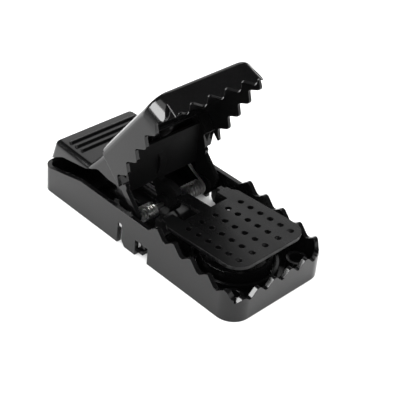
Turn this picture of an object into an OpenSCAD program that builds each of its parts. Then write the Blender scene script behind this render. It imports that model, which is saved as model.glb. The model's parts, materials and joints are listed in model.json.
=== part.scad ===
// Snap mouse trap: toothed base tray, sprung jaw with a press lever, trigger pedal and bait cup.
// Sizes are in millimetres. X runs across the width, the toothed mouth faces -Y and Z is up.
// The origin is the centre of the tray's bottom face. The trap is drawn set, with its jaw open.

/* [Base tray] */
// Length of the tray
base_len = 104.6; // [102:0.2:107]
// Width of the tray
base_w = 48; // [47:0.5:49]
// Wall thickness of the mouldings
wall = 1.8; // [1.5:0.1:2]
// Thickness of the tray's floor
floor_t = 1.6; // [1.3:0.1:1.8]
// Plan radius of the two front corners
front_r = 7.5; // [7:0.5:8.5]
// Plan radius of the two rear corners
rear_r = 4.5; // [3.5:0.5:6]
// Height of the flat part of the side rims
rim_z = 15.1; // [14.8:0.1:15.4]
// Height of the rear rim
rear_rim_z = 11; // [9:0.5:11]

/* [Teeth] */
// Spacing of the teeth along the sides
side_pitch = 8.58; // [8.4:0.02:8.7]
// Spacing of the teeth along the front
front_pitch = 8.15; // [8:0.05:8.25]
// Height of a tooth before its tip is rounded
tooth_h = 4; // [3.4:0.1:4.2]
// Rise of the side rims from one tooth to the next
tooth_rise = 1.29; // [1.2:0.01:1.32]

/* [Jaw] */
// Distance by which the jaw overhangs the tray in front and at each side
jaw_over = 1.65; // [1.6:0.05:1.8]
// Wall thickness of the jaw
jaw_wall = 1.3; // [1.2:0.05:1.35]
// Angle from closed to set
open_angle = 69.6; // [66:0.2:70]
// Slope of the jaw's roof when it is closed
roof_angle = 16.7; // [16:0.1:17]
// Height of the closed jaw's front edge
jaw_front_z = 19; // [18.9:0.1:20]
// Half width of the press lever
lever_half_w = 20.7; // [20.6:0.1:20.8]
// Height of the lever's flat top when the trap is set
lever_top_z = 20.6; // [20:0.2:21]

/* [Axle and springs] */
// Diameter of the axle rod
rod_d = 2; // [1.8:0.1:2.2]
// Diameter of the spring wire
wire_d = 1.2; // [1:0.1:1.3]
// Turns of each spring's coil
coil_turns = 6; // [4:1:6]

/* [Trigger pedal] */
// Width of the pedal's plate
pedal_w = 36.4; // [34:0.2:36.6]
// Thickness of the pedal's plate
pedal_t = 1.4; // [1.2:0.1:1.6]
// Upward tilt of the set pedal
pedal_tilt = 3.5; // [3:0.5:3.5]
// Diameter of the scent holes
scent_hole_d = 2.4; // [1.8:0.1:2.8]

/* [Bait cup] */
// Outside diameter of the cup's drum
cup_d = 27.6; // [25:0.2:27.8]
// Height of the cup's rim
cup_top_z = 8; // [7:0.5:8.5]

/* [Hidden] */

plastic = [0.11, 0.11, 0.12];
steel = [0.78, 0.79, 0.81];

half_l = base_len / 2;
half_w = base_w / 2;
far = 90;

// Axle of the jaw and pivot of the pedal, as [y, z]
axle = [6.2, 8.4];
pivot = [-6.6, 8.8];
fit = 0.05;
pin_r = 1.25;

// Teeth: valleys and peaks of the tray's rim before rounding
first_valley = 9.48;
side_valley_z = 10.16;
front_valley_z = 8.24;
corner_valley_z = 8;
// Peak of the front rim next to each corner, as [x, z]
corner_peak = [18.6, 10.5];
tooth_round = 1.4;
side_teeth = 5;

// Centre of a front corner in plan, and the middle of its arc
corner_x = half_w - front_r;
corner_y = -half_l + front_r;
arc_x = corner_x + front_r * sin(45);
arc_y = corner_y - front_r * sin(45);

// Jaw: rear edge of the wide part's sides when closed, as [y, z]
jaw_rear_top = [-17, 29.3];
jaw_tip = [-10.7, 14.5];
jaw_edge_r = 2.2;
back_step = 3.6;
jaw_w = half_w + jaw_over;
// Move from the tray's teeth to the closed jaw's, as [y, z]
bite_shift = [-2, -1.3];
// Least gap between the closed jaw and the tray's rim
rim_gap = 0.3;
roof_z0 = jaw_front_z - (-51.2) * tan(roof_angle);
inner_w = lever_half_w - 1.7;
lever_r = 2.5;

// Press lever in the set position: top of the rise, valley and rear end
rise_top = [5, 48.6];
valley = [29.5, lever_top_z + 0.2];
lever_rear = [51.3, lever_top_z];
lever_flare = 7.5;
hub_r = 4;
end_boss_r = 2.5;
arm_recess = 0.9;
catch_r = 8.8;
catch_half_w = 1.6;

// Grip ribs across the lever
grip_y = [38.4, 41.7, 45];
grip_h = 0.8;
grip_half_w = 16.2;

// Springs: coil radius and the span of each coil along the axle
coil_r = 2.5;
coil_x0 = 7.6;
coil_pitch = 1.43;
seat_gap = 1.8;

// Cup: centre and the twist lock
cup_y = -29.5;
cup_hole_r = cup_d / 2 + 0.2;
collar_r = cup_hole_r + 1;
collar_w = 1.2;
collar_z = 4.5;
lug_angle = 60;
lug_w = 5.2;

function unit(v) = v / norm(v);

// Arc of radius r that rounds corner b between a and c, in n steps
function fillet(a, b, c, r, n = 4) =
    let (u = unit(a - b), v = unit(c - b), half = acos(u * v) / 2)
    let (centre = b + unit(u + v) * r / sin(half), p = b + u * r / tan(half), q = b + v * r / tan(half))
    let (from = atan2(p.y - centre.y, p.x - centre.x), to = atan2(q.y - centre.y, q.x - centre.x))
    let (turn = (to - from + 540) % 360 - 180)
    [for (i = [0 : n]) centre + r * [cos(from + turn * i / n), sin(from + turn * i / n)]];

// Open path with every inner corner rounded
function rounded(path, r) = [
    path[0],
    for (i = [1 : len(path) - 2]) each fillet(path[i - 1], path[i], path[i + 1], r),
    path[len(path) - 1]
];

// Point of the set jaw, as [y, z], moved to the closed position
function closed(p) =
    let (d = p - axle)
    axle + [d.x * cos(open_angle) - d.y * sin(open_angle), d.y * cos(open_angle) + d.x * sin(open_angle)];

// Point of the closed jaw, as [y, z], moved to the set position
function opened(p) =
    let (d = p - axle)
    axle + [d.x * cos(open_angle) + d.y * sin(open_angle), d.y * cos(open_angle) - d.x * sin(open_angle)];

// Valleys and peaks of the side rim, counted from the front; out moves the corner valley forwards
function side_valley(k) = [-half_l + first_valley + k * side_pitch, side_valley_z + k * tooth_rise];
function side_peak(k) = side_valley(k) + [-side_pitch / 2, tooth_h - tooth_rise / 2];
function side_rim(out = 0) = [
    [2 * arc_y - side_peak(0).x, side_peak(0).y],
    [arc_y - out, corner_valley_z],
    for (k = [0 : side_teeth - 2]) each [side_peak(k), side_valley(k)],
    side_peak(side_teeth - 1)
];

// Rounded side rim as far as the start of its flat part
function rear_rim() =
    let (foot = [side_valley(side_teeth - 1).x, rim_z])
    rounded([each side_rim(), foot, foot + [5, 0]], tooth_round);

// Valleys and peaks of the front rim, from left to right; out moves the corner valleys outwards
function front_rim(out = 0) = [
    [-2 * arc_x + corner_peak.x, corner_peak.y],
    [-arc_x - out, corner_valley_z],
    [-corner_peak.x, corner_peak.y],
    [-2 * front_pitch, front_valley_z],
    for (k = [-1.5 : 1 : 1.5])
        each [[k * front_pitch, front_valley_z + tooth_h], [(k + 0.5) * front_pitch, front_valley_z]],
    [corner_peak.x, corner_peak.y],
    [arc_x + out, corner_valley_z],
    [2 * arc_x - corner_peak.x, corner_peak.y]
];

function lifted(path, by) = [for (p = path) p + [0, by]];

// Extrudes a [y, z] outline across X, between the two given faces
module across(x0, x1) {
    translate([x0, 0, 0]) rotate([90, 0, 90]) linear_extrude(x1 - x0) children();
}

// Extrudes an [x, z] outline along the whole length
module along() {
    translate([0, far, 0]) rotate([90, 0, 0]) linear_extrude(2 * far) children();
}

module both_sides() {
    children();
    mirror([1, 0, 0]) children();
}

// Cylinder along X between two faces, centred on a [y, z] point
module bar(p, x0, x1, r) {
    translate([x0, p.x, p.y]) rotate([0, 90, 0]) cylinder(r = r, h = x1 - x0, $fn = 48);
}

// Plan of the tray, drawn in by an inset
module plan(inset) {
    hx = half_w - inset;
    hy = half_l - inset;
    fr = front_r - inset;
    rr = rear_r - inset;
    translate([-hx, -hy + fr]) square([2 * hx, 2 * hy - fr - rr]);
    translate([-hx + fr, -hy]) square([2 * (hx - fr), fr + 1]);
    translate([-hx + rr, hy - rr - 1]) square([2 * (hx - rr), rr + 1]);
    for (side = [-1, 1]) {
        translate([side * (hx - fr), -hy + fr]) circle(r = fr, $fn = 96);
        translate([side * (hx - rr), hy - rr]) circle(r = rr, $fn = 96);
    }
}

// Wedge of space in front of the two front corners' diagonals
module front_region() {
    translate([0, 0, -1]) linear_extrude(far)
        polygon([
            [-corner_x - 0.3, corner_y], [corner_x + 0.3, corner_y],
            [corner_x + 20.3, corner_y - 20], [-corner_x - 20.3, corner_y - 20]
        ]);
}

// Space below the tray's rim: side profile everywhere but at the front, front profile there
module below_rim() {
    difference() {
        across(-half_w - 1, half_w + 1)
            polygon([
                [-half_l - 5, -1],
                each rear_rim(),
                [29, rim_z], [47.6, rear_rim_z], [half_l + 5, rear_rim_z], [half_l + 5, -1]
            ]);
        front_region();
    }
    intersection() {
        along() polygon([[-arc_x - 5, -1], each rounded(front_rim(), tooth_round), [arc_x + 5, -1]]);
        front_region();
    }
}

// Hole for the axle above a slot, with a narrow neck between them that holds the rod
module axle_slot() {
    slot_half = 1.25;
    neck_half = rod_d / 2 - 0.2;
    neck_z = axle.y - rod_d / 2 - 0.4;
    edge = axle.x - slot_half;
    flare = 1.5;
    across(half_w - wall - 1, half_w + 1) {
        translate(axle) circle(r = rod_d / 2 + fit, $fn = 48);
        translate([axle.x - neck_half, neck_z - 1]) square([2 * neck_half, axle.y - neck_z + 1]);
        polygon([
            [axle.x + slot_half, -1], [axle.x + slot_half, neck_z],
            [edge, neck_z],
            each fillet([edge, neck_z], [edge, 2], [edge - flare, 0], 2),
            [edge - flare, 0], [edge - flare, -1]
        ]);
    }
}

// Notch in the wall below the pedal's pivot, and the blind bearing and the pin's way up to it
module pivot_notch() {
    notch_top = 6.9;
    inner = half_w - wall - 0.2;
    blind = half_w - 0.8;
    across(inner, half_w + 1) translate([-9, -1]) square([6.7, notch_top + 1]);
    bar(pivot, half_w - 4, blind, pin_r + fit + 0.03);
    across(half_w - 4, blind) translate([pivot.x - 1.1, 0]) square([2.2, pivot.y]);
}

module base_tray() {
    pad_x = half_w - wall - 1.2;
    pad_z = 3.4;
    rib_t = 1.2;
    rib_h = 3.2;
    seat_t = 1;
    color(plastic) difference() {
        union() {
            intersection() {
                linear_extrude(30) difference() {
                    plan(0);
                    plan(wall);
                }
                below_rim();
            }
            difference() {
                linear_extrude(floor_t) plan(wall / 2);
                // Openings under the ends of the axle and under the two pivots
                both_sides() {
                    translate([15.8, -1.5, -1]) cube([half_w - wall - 15.8, 16.5, 5]);
                    translate([14.3, -8.7, -1]) cube([half_w - wall - 14.3, 4.2, 5]);
                }
                // Hole for the cup, with two notches for its lugs
                translate([0, cup_y, -1]) {
                    cylinder(r = cup_hole_r, h = 5, $fn = 96);
                    rotate([0, 0, lug_angle]) translate([-collar_r + 0.3, -lug_w / 2 - 0.9, 0])
                        cube([2 * collar_r - 0.6, lug_w + 1.8, 5]);
                }
            }
            // Collar round the cup
            translate([0, cup_y, 0]) difference() {
                cylinder(r = collar_r + collar_w, h = collar_z, $fn = 96);
                translate([0, 0, -1]) cylinder(r = collar_r, h = collar_z + 2, $fn = 96);
            }
            both_sides() {
                // Pad round the pedal's bearing
                across(pad_x, half_w - wall / 2) {
                    translate([pivot.x - 3.1, pad_z]) square([6.2, pivot.y - pad_z]);
                    translate(pivot) circle(r = 3.1, $fn = 48);
                }
                // Round boss in the front corner
                translate([corner_x, corner_y, 0.5]) difference() {
                    cylinder(r = 4, h = 5, $fn = 48);
                    translate([0, 0, 2]) cylinder(r = 2.8, h = 5, $fn = 48);
                }
                // Stiffening ribs of the rear floor and the seat of a spring's lower leg
                translate([3.4, 13.5, 0.5]) cube([rib_t, half_l - 14.5, rib_h]);
                for (dx = [-seat_gap / 2 - seat_t, seat_gap / 2])
                    translate([coil_x0 + dx, 17, 0.5]) cube([seat_t, 9, 2.6]);
            }
            translate([-half_w + wall / 2, 34, 0.5]) cube([base_w - wall, rib_t, rib_h]);
        }
        both_sides() {
            axle_slot();
            pivot_notch();
        }
    }
}

// Upright block with rounded corners and top edge, whose top slopes like the jaw's roof
module jaw_block(inset, top_drop) {
    r = front_r + jaw_over - inset;
    edge = jaw_edge_r - inset / 2;
    // Keeps the hull's sloping top just above the line of the roof
    lift = edge * (1 + tan(roof_angle) - 1 / cos(roof_angle)) + 0.05;
    hull() for (side = [-1, 1], y = [corner_y, -8], a = [0 : 22.5 : 90])
        translate([side * corner_x, y, -1])
            cylinder(
                r = r - edge + edge * cos(a),
                h = 1 + roof_z0 + (y - r) * tan(roof_angle) + lift - top_drop - edge + edge * sin(a),
                $fn = 64
            );
}

// Space above the closed jaw's teeth and in front of its rear edge
module above_bite() {
    roof_far = jaw_rear_top + 60 * [-cos(roof_angle), -sin(roof_angle)];
    // The corner valleys lie on the corners' diagonals
    out = jaw_over * sin(45);
    rim = [for (p = side_rim(out + bite_shift.x)) p + bite_shift];
    difference() {
        across(-jaw_w - 1, jaw_w + 1)
            polygon([
                roof_far,
                each rounded([each rim, jaw_tip], tooth_round),
                each fillet(jaw_tip, jaw_rear_top, roof_far, 3)
            ]);
        front_region();
    }
    intersection() {
        along() polygon([
            [-arc_x - 7, 60],
            each lifted(rounded(front_rim(out), tooth_round), bite_shift.y),
            [arc_x + 7, 60]
        ]);
        front_region();
    }
}

// Slanting corners between the jaw's sides and its narrower arms, closed
module jaw_back() {
    lean = atan((jaw_tip.x - jaw_rear_top.x) / (jaw_rear_top.y - jaw_tip.y));
    step = back_step * cos(lean);
    intersection() {
        translate([0, jaw_tip.x, jaw_tip.y]) rotate([lean, 0, 0]) linear_extrude(40)
            both_sides() polygon([
                [jaw_w - 0.4, -0.1], [lever_half_w, step], [inner_w, step], [inner_w, -1],
                [lever_half_w - 0.4, step - wall], [jaw_w - wall, -0.9]
            ]);
        // Space under the rise and above the jaw's rear tip
        across(-jaw_w - 1, jaw_w + 1) polygon([
            closed(valley), closed(2 * rise_top - valley), [-far, 0], [0, jaw_tip.y], [9, jaw_tip.y]
        ]);
    }
}

// Toothed wide part of the jaw, closed
module jaw_mouth() {
    // Inner face of the rear wall, along the mouth's slanting rear edge
    low = jaw_tip - [wall + 0.2, 0] + 2 * (jaw_tip - jaw_rear_top);
    high = jaw_rear_top - [wall + 0.2, 0] + 2 * (jaw_rear_top - jaw_tip);
    difference() {
        union() {
            intersection() {
                difference() {
                    jaw_block(0, 0);
                    intersection() {
                        jaw_block(jaw_wall, wall);
                        across(-jaw_w, jaw_w) polygon([[-far, low.y], low, high, [-far, high.y]]);
                    }
                }
                above_bite();
            }
            jaw_back();
        }
        // Room for the tray's walls, which the jaw closes round
        across(-half_w - rim_gap, half_w + rim_gap)
            polygon([[-half_l, 0], each lifted(rear_rim(), rim_gap), [4, 0]]);
        // Room for the pedal's rear end
        across(-pedal_w / 2 - 0.5, pedal_w / 2 + 0.5) translate([-22, 10]) square([26, 7]);
    }
}

// Rounded blocks of the lever and of the rise in front of it, in the set position
module lever_block(r) {
    x = lever_half_w - lever_r;
    drop = lever_r;
    hull() for (side = [-1, 1]) {
        translate([side * x, valley.x - 4, lever_top_z - drop]) sphere(r = r, $fn = 32);
        translate([side * (x - 1), lever_rear.x - drop, lever_top_z - drop]) sphere(r = r, $fn = 32);
        translate([side * x, valley.x - 4, -5]) sphere(r = r, $fn = 32);
        translate([side * (x - 1), lever_rear.x - drop + lever_flare, -5]) sphere(r = r, $fn = 32);
    }
    away = unit([valley.y - rise_top.y, rise_top.x - valley.x]) * drop;
    hull() for (side = [-1, 1]) {
        translate([side * x, rise_top.x + away.x, rise_top.y + away.y]) sphere(r = r, $fn = 32);
        translate([side * x, valley.x + away.x, valley.y + away.y]) sphere(r = r, $fn = 32);
        translate([side * x, rise_top.x - 20, -5]) sphere(r = r, $fn = 32);
        translate([side * x, valley.x + away.x, -5]) sphere(r = r, $fn = 32);
    }
}

// Side outline of the lever and its arms, in the set position
module arm_outline() {
    web_top = opened(jaw_rear_top) + [-0.9, -1.2];
    web_foot = opened(jaw_tip + [back_step, 0]);
    polygon([
        web_foot, web_top, [rise_top.x + 20, rise_top.y + 10], [60, rise_top.y], [54, 11.4], [52.5, 11.4],
        each fillet([52.5, 11.4], [45.4, 15.5], [30.4, 18.6], 8),
        each fillet([45.4, 15.5], [30.4, 18.6], [23.6, 22.3], 4),
        each fillet([30.4, 18.6], [23.6, 22.3], [13.5, 20.2], 4),
        each fillet([23.6, 22.3], [13.5, 20.2], axle + [hub_r, 0], 3),
        axle + [hub_r, 0], axle + [0, -1], axle + [-hub_r - 1, 1], [0.1, 13.8], [7.5, 21.7]
    ]);
}

// Rib under the rise that carries the catch for the pedal's tongue, in the set position
module catch_outline() {
    polygon([
        axle + [hub_r - 0.5, 0], axle, axle + catch_r * [cos(158), sin(158)] * 0.62,
        for (a = [150 : -6 : 132]) axle + 0.8 * catch_r * [cos(a), sin(a)],
        for (a = [132 : -6 : 66]) axle + catch_r * [cos(a), sin(a)],
        [12.1, 17.2], [10.4, 22.6], [10.4, 26], [16.6, 34.6], [27.8, 21.9], [17, 18]
    ]);
}

// Rib of the lever's grip: steep sides and a rounded crest
module grip_outline() {
    foot = 0.7;
    crest = 0.5;
    polygon([
        [-foot, -0.4], [-foot, 0],
        each fillet([-foot, 0], [-crest, grip_h], [crest, grip_h], 0.35),
        each fillet([-crest, grip_h], [crest, grip_h], [foot, 0], 0.35),
        [foot, 0], [foot, -0.4]
    ]);
}

module jaw() {
    color(plastic) difference() {
        union() {
            difference() {
                union() {
                    translate([0, axle.x, axle.y]) rotate([-open_angle, 0, 0])
                        translate([0, -axle.x, -axle.y]) jaw_mouth();
                    intersection() {
                        lever_block(lever_r);
                        across(-lever_half_w - 1, lever_half_w + 1) arm_outline();
                    }
                }
                intersection() {
                    lever_block(lever_r - 1.7);
                    across(-half_w, half_w) polygon([[-20, -20], [-20, 70], [70, 70], [70, -20]]);
                }
            }
            across(-catch_half_w, catch_half_w) catch_outline();
            // Cross wall under the rise, which closes the lever's hollow towards the mouth
            across(-inner_w - 0.4, inner_w + 0.4) translate([11.7, 16.2]) square([jaw_wall, 17.2]);
            // Hubs of the arms and of the catch rib
            both_sides() {
                bar(axle, inner_w - 0.8, lever_half_w + 0.4, hub_r);
                bar(axle, lever_half_w, half_w - wall - 0.3, end_boss_r);
            }
            bar(axle, -3, 3, hub_r);
            // Grip ribs across the lever
            for (y = grip_y) across(-grip_half_w, grip_half_w) translate([y, lever_top_z]) grip_outline();
        }
        // Outer face of each arm, set back below the lever's side and behind the arm's front edge
        both_sides() across(lever_half_w - arm_recess, lever_half_w + 1) difference() {
            polygon([[12.9, 21], [10, 20.4], [3.6, 14], [8, 8], [16, 8], [24.4, 21]]);
            translate(axle) circle(r = hub_r + 0.3, $fn = 48);
        }
        bar(axle, -half_w, half_w, rod_d / 2 + fit);
    }
}

module axle_rod() {
    color(steel) bar(axle, -half_w + 0.3, half_w - 0.3, rod_d / 2);
}

// Points of a spring: upper leg under the rise, coil on the axle, lower leg on the floor
function spring_path() =
    let (start = 128, end = 250 + 360 * coil_turns, steps = 18 * coil_turns + 6)
    let (x_end = coil_x0 + coil_pitch * (end - start) / 360)
    [
        [x_end, 24, 23.2],
        [x_end, 14, 15.4],
        for (i = [0 : steps])
            let (a = start + (end - start) * i / steps, x = x_end + (coil_x0 - x_end) * i / steps)
            [x, axle.x + coil_r * cos(a), axle.y + coil_r * sin(a)],
        [coil_x0, 10, 4.4], [coil_x0, 15.4, 2.6], [coil_x0, 17, 2.4], [coil_x0, 25, 2.4]
    ];

// Round wire swept along a path that never runs along X
module wire(path, r, sides = 8) {
    last = len(path) - 1;
    rings = [for (i = [0 : last])
        let (t = unit(path[min(i + 1, last)] - path[max(i - 1, 0)]))
        let (n = unit(cross(t, [1, 0, 0])), b = cross(t, n))
        for (k = [0 : sides - 1]) path[i] + r * (n * cos(k * 360 / sides) + b * sin(k * 360 / sides))];
    polyhedron(rings, [
        [for (k = [0 : sides - 1]) k],
        [for (k = [sides - 1 : -1 : 0]) last * sides + k],
        for (i = [0 : last - 1], k = [0 : sides - 1])
            let (a = i * sides + k, b = i * sides + (k + 1) % sides)
            each [[a, a + sides, b], [b, a + sides, b + sides]]
    ]);
}

module right_spring() {
    color(steel) wire(spring_path(), wire_d / 2);
}

module left_spring() {
    color(steel) mirror([1, 0, 0]) wire(spring_path(), wire_d / 2);
}

// Plan of the pedal's plate, measured from its pivot
module pedal_plan() {
    front = -40.9;
    rear = -3;
    corner = 7;
    rear_corner = 4;
    hx = pedal_w / 2;
    difference() {
        union() {
            translate([-hx, front + corner]) square([pedal_w, rear - rear_corner - front - corner]);
            translate([-hx + corner, front]) square([pedal_w - 2 * corner, corner + 1]);
            translate([-hx + rear_corner, rear - rear_corner - 1])
                square([pedal_w - 2 * rear_corner, rear_corner + 1]);
            for (side = [-1, 1]) {
                translate([side * (hx - corner), front + corner]) circle(r = corner, $fn = 64);
                translate([side * (hx - rear_corner), rear - rear_corner])
                    circle(r = rear_corner, $fn = 64);
                translate([side * 13.9 - 2.7, rear - 3]) square([5.4, 4.6]);
            }
        }
        // Cut-out between the ears, for the catch rib
        translate([-11.2, -7]) square([22.4, 20]);
        for (col = [-2 : 2], row = [0 : 5])
            translate([col * 6.6, -36.4 + row * 4.9]) circle(d = scent_hole_d, $fn = 24);
    }
}

module trigger_pedal() {
    plate_z = 6.9 - pedal_t;
    tongue_w = 5.2;
    color(plastic) translate([0, pivot.x, pivot.y]) rotate([-pedal_tilt, 0, 0]) {
        translate([0, 0, plate_z]) linear_extrude(pedal_t) pedal_plan();
        // Tongue that reaches to the catch rib
        translate([-tongue_w / 2, -8, plate_z]) cube([tongue_w, 13.5, pedal_t]);
        translate([-0.6, -12.9, plate_z - 1.4]) cube([1.2, 16, 1.8]);
        both_sides() {
            // Ear that carries the pivot pin
            across(14.3, 16.6) {
                polygon([[-8, plate_z + 0.4], [1.6, plate_z + 0.4], [2.4, 0], [-2.4, 0]]);
                circle(r = 2.4, $fn = 48);
            }
            bar([0, 0], 15, half_w - 1.1, pin_r);
            // Stiffening rib under the plate
            translate([9.3, -36, plate_z - 1.2]) cube([1.2, 28.5, 1.6]);
        }
    }
}

module bait_cup() {
    r = cup_d / 2;
    well_z = 3;
    color(plastic) translate([0, cup_y, 0]) {
        difference() {
            translate([0, 0, 0.3]) cylinder(r = r, h = cup_top_z - 0.3, $fn = 96);
            translate([0, 0, well_z + 1.3]) cylinder(r = r - 1.3, h = cup_top_z, $fn = 96);
            translate([0, 0, -1]) cylinder(r = r - 1.6, h = well_z + 1, $fn = 96);
        }
        // Finger bar underneath and the two locking lugs
        translate([-r + 1, -1.3, 0.3]) cube([2 * r - 2, 2.6, well_z]);
        for (side = [0, 180]) rotate([0, 0, side])
            intersection() {
                translate([r - 2, -lug_w / 2, floor_t + 0.1]) cube([4, lug_w, 1.2]);
                difference() {
                    cylinder(r = collar_r - 0.2, h = 10, $fn = 96);
                    translate([0, 0, -1]) cylinder(r = r - 1, h = 12, $fn = 96);
                }
            }
    }
}

base_tray();
jaw();
axle_rod();
left_spring();
right_spring();
trigger_pedal();
bait_cup();
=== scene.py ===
"""Looks of the snap mouse trap: glossy black mouldings, wound springs, steel axle and studio."""

import json
import math

import bmesh
import bpy
from mathutils import Matrix, Vector


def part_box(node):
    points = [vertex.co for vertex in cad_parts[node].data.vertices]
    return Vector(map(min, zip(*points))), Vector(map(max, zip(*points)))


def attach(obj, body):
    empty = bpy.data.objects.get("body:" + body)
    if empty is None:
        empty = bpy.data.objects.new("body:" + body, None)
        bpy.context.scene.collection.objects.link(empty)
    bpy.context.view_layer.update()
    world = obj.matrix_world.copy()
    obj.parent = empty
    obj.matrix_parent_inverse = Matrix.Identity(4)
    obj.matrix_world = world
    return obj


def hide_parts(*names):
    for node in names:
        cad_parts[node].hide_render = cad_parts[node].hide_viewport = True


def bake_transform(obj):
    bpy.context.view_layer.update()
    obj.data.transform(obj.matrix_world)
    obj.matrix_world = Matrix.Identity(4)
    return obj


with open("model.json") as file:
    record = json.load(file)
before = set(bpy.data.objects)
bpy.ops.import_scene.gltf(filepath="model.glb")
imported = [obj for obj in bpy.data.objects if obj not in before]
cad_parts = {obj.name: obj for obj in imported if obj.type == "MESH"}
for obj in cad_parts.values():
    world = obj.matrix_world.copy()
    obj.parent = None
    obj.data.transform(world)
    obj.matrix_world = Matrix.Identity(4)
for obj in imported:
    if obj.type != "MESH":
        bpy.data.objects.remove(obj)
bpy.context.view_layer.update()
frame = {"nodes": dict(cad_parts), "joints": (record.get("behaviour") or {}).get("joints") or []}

MM = 0.001

# Places taken from the frame: the jaw's axle and the spans of the springs' coils
JAW_HINGE = next(j for j in frame["joints"] if j["name"] == "jaw_hinge")
AXLE = Vector(JAW_HINGE["pos_m"])
SPRING_LO, SPRING_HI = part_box("right_spring")
ROD_LO, ROD_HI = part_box("axle_rod")
TRAY_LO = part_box("base_tray")[0]

# Springs: angles in degrees, legs as (y, z) places in millimetres
WIRE_R = 0.6 * MM
COIL_R = 2.5 * MM
COIL_START = 128
COIL_END = 250 + 360 * 6
COIL_STEPS_PER_TURN = 30
WIRE_SIDES = 14
UPPER_LEG = [(24, 23.2), (14, 15.4)]
UPPER_BEND_R = 2.5 * MM
LOWER_LEG = [(10, 4.4), (16.2, 2.4), (25, 2.4)]
LOWER_BEND_R = 2 * MM

# Domed ends of the wire, as shares of its radius
DOME_REACH = 0.25
DOME_R = 0.72

# Axle rod: chamfered ends, each with a shallow pip whose radii are shares of the rod's
ROD_CHAMFER = 0.25 * MM
PIP_DEPTH = 0.06 * MM
PIP_LIP_DEPTH = 0.02 * MM
PIP_R = 0.3
PIP_LIP_R = 0.45
ROD_SIDES = 40

# Vertices closer than this are one vertex
WELD_MESH = 0.0015 * MM
WELD_ROD = 0.001 * MM

# Detail of moulded plastic, in cycles per metre
CLOUDS = 55
SMEARS = 130
SCRATCHES = 420
ORANGE_PEEL = 900
SPECKS = 2600
FINE_GRAIN = 5200

# Detail of drawn steel and of paper, in cycles per metre
STEEL_PATCHES = 300
DRAW_LINES = 5200
PAPER_GRAIN = 700

# Camera, as an orbit round the tray's origin, in degrees
CAMERA_AZIMUTH = -46.4
CAMERA_ELEVATION = 35.63
CAMERA_ROLL = 5.2
CAMERA_DISTANCE = 403.65 * MM
CAMERA_SLIDE = (2.15 * MM, 11.84 * MM)
CAMERA_LENS = 95.98
CAMERA_SHIFT = (0.0409, -0.0106)

# The jaw's core side, matt out of the mould: space between the arms, and how far a wall faces inwards
INNER_HALF_W = 19.2 * MM
INNER_Y = 14.6 * MM
INNER_Z = 37.1 * MM
CORE_FACING = 0.4

# Studio walls and ceiling: heights as sines of the angle above the horizon
WALL_TOP = 0.1
CEILING_START = 0.2
WALL_RADIANCE = 1.2
CEILING_RADIANCE = 0.02

# Studio floor
FLOOR_HALF = 4
FLOOR_GAP = 0.05 * MM

# Edges sharper than this stay sharp in the mouldings
SHARP_ANGLE = math.radians(34)


# ---------------------------------------------------------------- materials


class Nodes:
    """Short names for building one material's node tree."""

    def __init__(self, name):
        self.material = bpy.data.materials.new(name)
        self.material.use_nodes = True
        self.tree = self.material.node_tree
        self.shader = next(n for n in self.tree.nodes if n.type == "BSDF_PRINCIPLED")

    def add(self, kind, **values):
        node = self.tree.nodes.new(kind)
        for key, value in values.items():
            if hasattr(node, key):
                setattr(node, key, value)
            else:
                node.inputs[key].default_value = value
        return node

    def link(self, output, target):
        self.tree.links.new(output, target)

    def noise(self, scale, detail=3.0, roughness=0.55, stretch=(1, 1, 1)):
        """Noise in the object's own space, with scale in cycles per metre."""
        place = self.add("ShaderNodeTexCoord")
        mapping = self.add("ShaderNodeMapping")
        mapping.inputs["Scale"].default_value = stretch
        self.link(place.outputs["Object"], mapping.inputs["Vector"])
        noise = self.add("ShaderNodeTexNoise")
        noise.inputs["Scale"].default_value = scale
        noise.inputs["Detail"].default_value = detail
        noise.inputs["Roughness"].default_value = roughness
        self.link(mapping.outputs["Vector"], noise.inputs["Vector"])
        return noise.outputs["Fac"]

    def ramp(self, value, stops):
        """Colour ramp of (position, grey or colour) stops."""
        ramp = self.add("ShaderNodeValToRGB")
        elements = ramp.color_ramp.elements
        while len(elements) < len(stops):
            elements.new(0.5)
        for element, (position, colour) in zip(elements, stops):
            element.position = position
            if isinstance(colour, (int, float)):
                colour = (colour, colour, colour)
            element.color = (*colour, 1)
        self.link(value, ramp.inputs["Fac"])
        return ramp.outputs["Color"]

    def add_values(self, a, b, weight):
        """a + weight * b, as one value."""
        node = self.add("ShaderNodeMath", operation="MULTIPLY_ADD")
        node.inputs[1].default_value = weight
        self.link(b, node.inputs[0])
        self.link(a, node.inputs[2])
        return node.outputs[0]


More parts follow.
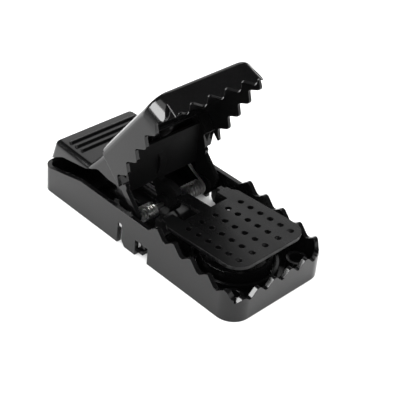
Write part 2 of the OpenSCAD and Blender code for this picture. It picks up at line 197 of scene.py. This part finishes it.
def moulded_plastic(name, base, gloss, edge_r, grain, ior=1.36):
    """Black moulded plastic: soft edges, faint orange peel, uneven gloss and fine handling marks."""
    n = Nodes(name)
    cloudy = n.noise(CLOUDS, detail=2)
    darker, lighter = [tuple(c * k for c in base) for k in (0.8, 1.25)]
    n.link(n.ramp(cloudy, [(0.3, darker), (0.7, lighter)]), n.shader.inputs["Base Color"])

    smears = n.noise(SMEARS, detail=5, stretch=(1, 0.35, 0.6))
    specks = n.noise(SPECKS, detail=2)
    rough = n.add_values(n.ramp(smears, [(0.35, gloss), (0.72, gloss + 0.09)]), specks, 0.03)
    n.link(rough, n.shader.inputs["Roughness"])

    peel = n.noise(ORANGE_PEEL, detail=2)
    fine = n.noise(FINE_GRAIN, detail=2)
    streaks = n.noise(SCRATCHES, detail=6, roughness=0.7, stretch=(1, 14, 3))
    scratches = n.ramp(streaks, [(0.66, 0.0), (0.7, 1.0)])
    height = n.add_values(n.add_values(peel, fine, grain), scratches, -0.12)
    edge = n.add("ShaderNodeBevel", samples=6)
    edge.inputs["Radius"].default_value = edge_r
    bump = n.add("ShaderNodeBump")
    bump.inputs["Strength"].default_value = 0.35
    bump.inputs["Distance"].default_value = 0.02 * MM
    n.link(height, bump.inputs["Height"])
    n.link(edge.outputs["Normal"], bump.inputs["Normal"])
    n.link(bump.outputs["Normal"], n.shader.inputs["Normal"])
    n.shader.inputs["IOR"].default_value = ior
    return n.material


def drawn_steel(name, base, rough, along, edge_r=0.08 * MM):
    """Drawn steel with faint lengthwise draw lines, dull patches and a light oil film."""
    n = Nodes(name)
    patches = n.noise(STEEL_PATCHES, detail=4)
    darker, lighter = [tuple(c * k for c in base) for k in (0.72, 1.1)]
    n.link(n.ramp(patches, [(0.3, darker), (0.65, lighter)]), n.shader.inputs["Base Color"])
    lines = n.noise(DRAW_LINES, detail=3, stretch=along)
    rough_value = n.add_values(n.ramp(patches, [(0.3, rough + 0.14), (0.7, rough)]), lines, 0.08)
    n.link(rough_value, n.shader.inputs["Roughness"])
    bump = n.add("ShaderNodeBump")
    bump.inputs["Strength"].default_value = 0.3
    bump.inputs["Distance"].default_value = 0.01 * MM
    n.link(lines, bump.inputs["Height"])
    edge = n.add("ShaderNodeBevel", samples=4)
    edge.inputs["Radius"].default_value = edge_r
    n.link(edge.outputs["Normal"], bump.inputs["Normal"])
    n.link(bump.outputs["Normal"], n.shader.inputs["Normal"])
    n.shader.inputs["Metallic"].default_value = 1
    return n.material


def studio_paper():
    """Seamless white paper under the trap."""
    n = Nodes("studio_paper")
    grain = n.noise(PAPER_GRAIN, detail=4)
    n.link(n.ramp(grain, [(0.3, 0.86), (0.7, 0.9)]), n.shader.inputs["Base Color"])
    n.shader.inputs["Roughness"].default_value = 0.75
    n.shader.inputs["Specular IOR Level"].default_value = 0.2
    return n.material


# ---------------------------------------------------------------- meshes


def show(mesh, name, material):
    obj = bpy.data.objects.new(name, mesh)
    bpy.context.scene.collection.objects.link(obj)
    mesh.materials.clear()
    mesh.materials.append(material)
    return obj


def shade_smooth(b):
    """Smooth shading that keeps real edges sharp."""
    for face in b.faces:
        face.smooth = True
    for edge in b.edges:
        edge.smooth = len(edge.link_faces) == 2 and edge.calc_face_angle(0) < SHARP_ANGLE


def moulding(node, name, body, material, inner_material=None, is_inner=None):
    """Smoothly shaded copy of a CAD node, with a second material where is_inner says so."""
    mesh = frame["nodes"][node].data.copy()
    mesh.name = name
    b = bmesh.new()
    b.from_mesh(mesh)
    bmesh.ops.remove_doubles(b, verts=b.verts, dist=WELD_MESH)
    shade_smooth(b)
    b.to_mesh(mesh)
    b.free()
    if "custom_normal" in mesh.attributes:
        mesh.attributes.remove(mesh.attributes["custom_normal"])
    obj = show(mesh, name, material)
    if inner_material:
        mesh.materials.append(inner_material)
        for face in mesh.polygons:
            face.material_index = int(is_inner(face.center, face.normal))
    even = obj.modifiers.new("even_shading", "WEIGHTED_NORMAL")
    even.keep_sharp = True
    even.weight = 100
    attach(obj, body)
    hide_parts(node)


def tube(points, radius, sides, name, material):
    """Round wire through a list of points, with slightly domed ends."""
    tangents = []
    last = len(points) - 1
    for i in range(last + 1):
        tangents.append((points[min(i + 1, last)] - points[max(i - 1, 0)]).normalized())
    rings = [(points[0] - tangents[0] * radius * DOME_REACH, tangents[0], radius * DOME_R)]
    rings += [(p, t, radius) for p, t in zip(points, tangents)]
    rings.append((points[-1] + tangents[-1] * radius * DOME_REACH, tangents[-1], radius * DOME_R))
    b = bmesh.new()
    loops = []
    for centre, along, r in rings:
        across = along.cross(Vector((1, 0, 0))).normalized()
        other = along.cross(across)
        loop = []
        for k in range(sides):
            turn = 2 * math.pi * k / sides
            loop.append(b.verts.new(centre + (across * math.cos(turn) + other * math.sin(turn)) * r))
        loops.append(loop)
    for a, c in zip(loops, loops[1:]):
        for k in range(sides):
            b.faces.new((a[k], a[(k + 1) % sides], c[(k + 1) % sides], c[k]))
    b.faces.new(loops[0])
    b.faces.new(loops[-1])
    bmesh.ops.recalc_face_normals(b, faces=b.faces)
    for face in b.faces:
        face.smooth = len(face.verts) == 4
    mesh = bpy.data.meshes.new(name)
    b.to_mesh(mesh)
    b.free()
    return show(mesh, name, material)


def rounded_route(corners, radius, steps=5):
    """Points of a polyline whose inner corners are rounded."""
    route = [corners[0]]
    for before, corner, after in zip(corners, corners[1:], corners[2:]):
        back = (before - corner).normalized()
        ahead = (after - corner).normalized()
        reach = min(radius, (before - corner).length / 2, (after - corner).length / 2)
        for i in range(steps + 1):
            t = i / steps
            arriving = (corner + back * reach).lerp(corner, t)
            leaving = corner.lerp(corner + ahead * reach, t)
            route.append(arriving.lerp(leaving, t))
    route.append(corners[-1])
    return route


def spring(side, name, node):
    """Torsion spring: a leg under the jaw's rise, the coil on the axle, a leg on the tray's floor."""
    x_in = SPRING_LO.x + WIRE_R
    x_out = SPRING_HI.x - WIRE_R
    coil = []
    steps = int(COIL_STEPS_PER_TURN * (COIL_END - COIL_START) / 360)
    for i in range(steps + 1):
        t = i / steps
        angle = math.radians(COIL_START + (COIL_END - COIL_START) * t)
        x = x_out + (x_in - x_out) * t
        coil.append(Vector((x, AXLE.y + COIL_R * math.cos(angle), AXLE.z + COIL_R * math.sin(angle))))
    upper = [Vector((x_out, y * MM, z * MM)) for y, z in UPPER_LEG] + [coil[0]]
    lower = [coil[-1]] + [Vector((x_in, y * MM, z * MM)) for y, z in LOWER_LEG]
    route = rounded_route(upper, UPPER_BEND_R)[:-1] + coil[:-1] + rounded_route(lower, LOWER_BEND_R)
    points = [Vector((side * p.x, p.y, p.z)) for p in route]
    obj = tube(points, WIRE_R, WIRE_SIDES, name, SPRING_STEEL)
    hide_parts(node)
    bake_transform(obj)


def axle_rod():
    """Cut steel rod with chamfered ends and a shallow pip left by the cutter."""
    half = (ROD_HI.x - ROD_LO.x) / 2
    r = (ROD_HI.z - ROD_LO.z) / 2
    profile = [
        (-half + PIP_DEPTH, 0.0),
        (-half + PIP_LIP_DEPTH, PIP_R * r),
        (-half, PIP_LIP_R * r),
        (-half, r - ROD_CHAMFER),
        (-half + ROD_CHAMFER, r),
    ]
    profile += [(-x, radius) for x, radius in reversed(profile)]
    b = bmesh.new()
    verts = [b.verts.new((x, 0, radius)) for x, radius in profile]
    edges = [b.edges.new(pair) for pair in zip(verts, verts[1:])]
    bmesh.ops.spin(
        b,
        geom=verts + edges,
        axis=(1, 0, 0),
        cent=(0, 0, 0),
        angle=2 * math.pi,
        steps=ROD_SIDES,
        use_duplicate=False,
    )
    bmesh.ops.remove_doubles(b, verts=b.verts, dist=WELD_ROD)
    bmesh.ops.recalc_face_normals(b, faces=b.faces)
    shade_smooth(b)
    mesh = bpy.data.meshes.new("axle_rod_turned")
    b.to_mesh(mesh)
    b.free()
    obj = show(mesh, "axle_rod_turned", ROD_STEEL)
    obj.location = AXLE
    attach(obj, "tray")
    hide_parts("axle_rod")


# ---------------------------------------------------------------- the trap

GLOSS_BLACK = (0.0028, 0.0028, 0.0029)
PEDAL_BLACK = (0.0024, 0.0024, 0.0025)
TRAY_PLASTIC = moulded_plastic("tray_gloss_black", GLOSS_BLACK, 0.14, 0.3 * MM, 0.25)
JAW_PLASTIC = moulded_plastic("jaw_gloss_black", GLOSS_BLACK, 0.12, 0.35 * MM, 0.25)
PEDAL_PLASTIC = moulded_plastic("pedal_satin_black", PEDAL_BLACK, 0.24, 0.2 * MM, 0.5, ior=1.3)
INNER_PLASTIC = moulded_plastic("inner_matt_black", GLOSS_BLACK, 0.55, 0.1 * MM, 0.6, ior=1.2)
CUP_PLASTIC = moulded_plastic("cup_black", PEDAL_BLACK, 0.2, 0.25 * MM, 0.35)
SPRING_STEEL = drawn_steel("spring_wire", (0.8, 0.8, 0.79), 0.2, (1, 1, 1))
ROD_STEEL = drawn_steel("rod_steel", (0.45, 0.45, 0.45), 0.24, (0.05, 1, 1))


def inside_jaw(place, facing):
    """True on the jaw's core side: between its arms, on walls that face the middle and under its roof."""
    between_arms = abs(place.x) < INNER_HALF_W and place.y < INNER_Y and AXLE.z < place.z < INNER_Z
    faces_middle = facing.x * math.copysign(1, place.x) < -CORE_FACING
    under_roof = max(facing.y, facing.z) < -CORE_FACING
    return between_arms or faces_middle or under_roof


moulding("base_tray", "tray_moulding", "tray", TRAY_PLASTIC)
moulding("jaw", "jaw_moulding", "jaw", JAW_PLASTIC, INNER_PLASTIC, inside_jaw)
moulding("trigger_pedal", "pedal_moulding", "pedal", PEDAL_PLASTIC)
moulding("bait_cup", "cup_moulding", "cup", CUP_PLASTIC)
axle_rod()
spring(1, "right_spring_wound", "right_spring")
spring(-1, "left_spring_wound", "left_spring")


# ---------------------------------------------------------------- studio


def floor():
    mesh = bpy.data.meshes.new("floor")
    b = bmesh.new()
    bmesh.ops.create_grid(b, x_segments=2, y_segments=2, size=FLOOR_HALF)
    b.to_mesh(mesh)
    b.free()
    obj = show(mesh, "floor", studio_paper())
    obj.location.z = TRAY_LO.z - FLOOR_GAP


def softbox(name, direction, distance, size, radiance, in_reflections=True, on_matt=True):
    """Area light that faces the trap, with the radiance that a mirror would show."""
    light = bpy.data.lights.new(name, "AREA")
    light.shape = "RECTANGLE"
    light.size, light.size_y = size
    light.energy = radiance * math.pi * size[0] * size[1]
    obj = bpy.data.objects.new(name, light)
    bpy.context.scene.collection.objects.link(obj)
    aim = Vector(direction).normalized()
    obj.location = aim * distance
    obj.rotation_mode = "QUATERNION"
    obj.rotation_quaternion = (-aim).to_track_quat("-Z", "Y")
    obj.visible_glossy = in_reflections
    obj.visible_diffuse = on_matt


def camera():
    angles = (CAMERA_AZIMUTH, CAMERA_ELEVATION, CAMERA_ROLL)
    azimuth, elevation, roll = [math.radians(a) for a in angles]
    reach = math.cos(elevation)
    back = Vector((math.sin(azimuth) * reach, -math.cos(azimuth) * reach, math.sin(elevation)))
    level = Vector((math.cos(azimuth), math.sin(azimuth), 0))
    upright = back.cross(level)
    right = level * math.cos(roll) + upright * math.sin(roll)
    up = upright * math.cos(roll) - level * math.sin(roll)
    data = bpy.data.cameras.new("camera")
    data.lens = CAMERA_LENS
    data.shift_x, data.shift_y = CAMERA_SHIFT
    data.clip_start, data.clip_end = 0.01, 20
    obj = bpy.data.objects.new("camera", data)
    bpy.context.scene.collection.objects.link(obj)
    obj.rotation_mode = "QUATERNION"
    obj.rotation_quaternion = Matrix((right, up, back)).transposed().to_quaternion()
    obj.location = back * CAMERA_DISTANCE + right * CAMERA_SLIDE[0] + up * CAMERA_SLIDE[1]
    bpy.context.scene.camera = obj


def studio_walls():
    """White walls low round the room, fading to a dark ceiling that leaves the gloss black."""
    world = bpy.data.worlds.new("studio")
    world.use_nodes = True
    tree = world.node_tree
    place = tree.nodes.new("ShaderNodeTexCoord")
    split = tree.nodes.new("ShaderNodeSeparateXYZ")
    fade = tree.nodes.new("ShaderNodeMapRange")
    fade.inputs["From Min"].default_value = WALL_TOP
    fade.inputs["From Max"].default_value = CEILING_START
    fade.inputs["To Min"].default_value = WALL_RADIANCE
    fade.inputs["To Max"].default_value = CEILING_RADIANCE
    background = tree.nodes["Background"]
    background.inputs["Color"].default_value = (1, 1, 1, 1)
    tree.links.new(place.outputs["Generated"], split.inputs["Vector"])
    tree.links.new(split.outputs["Z"], fade.inputs["Value"])
    tree.links.new(fade.outputs["Result"], background.inputs["Strength"])
    bpy.context.scene.world = world


def studio():
    studio_walls()
    bpy.context.scene.view_settings.view_transform = "Standard"
    softbox("overhead_fill", (-0.1, -0.1, 1), 1.4, (8, 8), 2.3, in_reflections=False)
    softbox("key_left", (-0.67, 0.27, 0.66), 0.75, (0.6, 0.4), 24, on_matt=False)
    softbox("key_fade", (-0.4, 0.02, 0.9), 0.75, (0.3, 0.3), 3)
    softbox("card_behind", (0.6, 0.6, 0.5), 0.9, (0.6, 0.36), 1.4)
    floor()


studio()
camera()
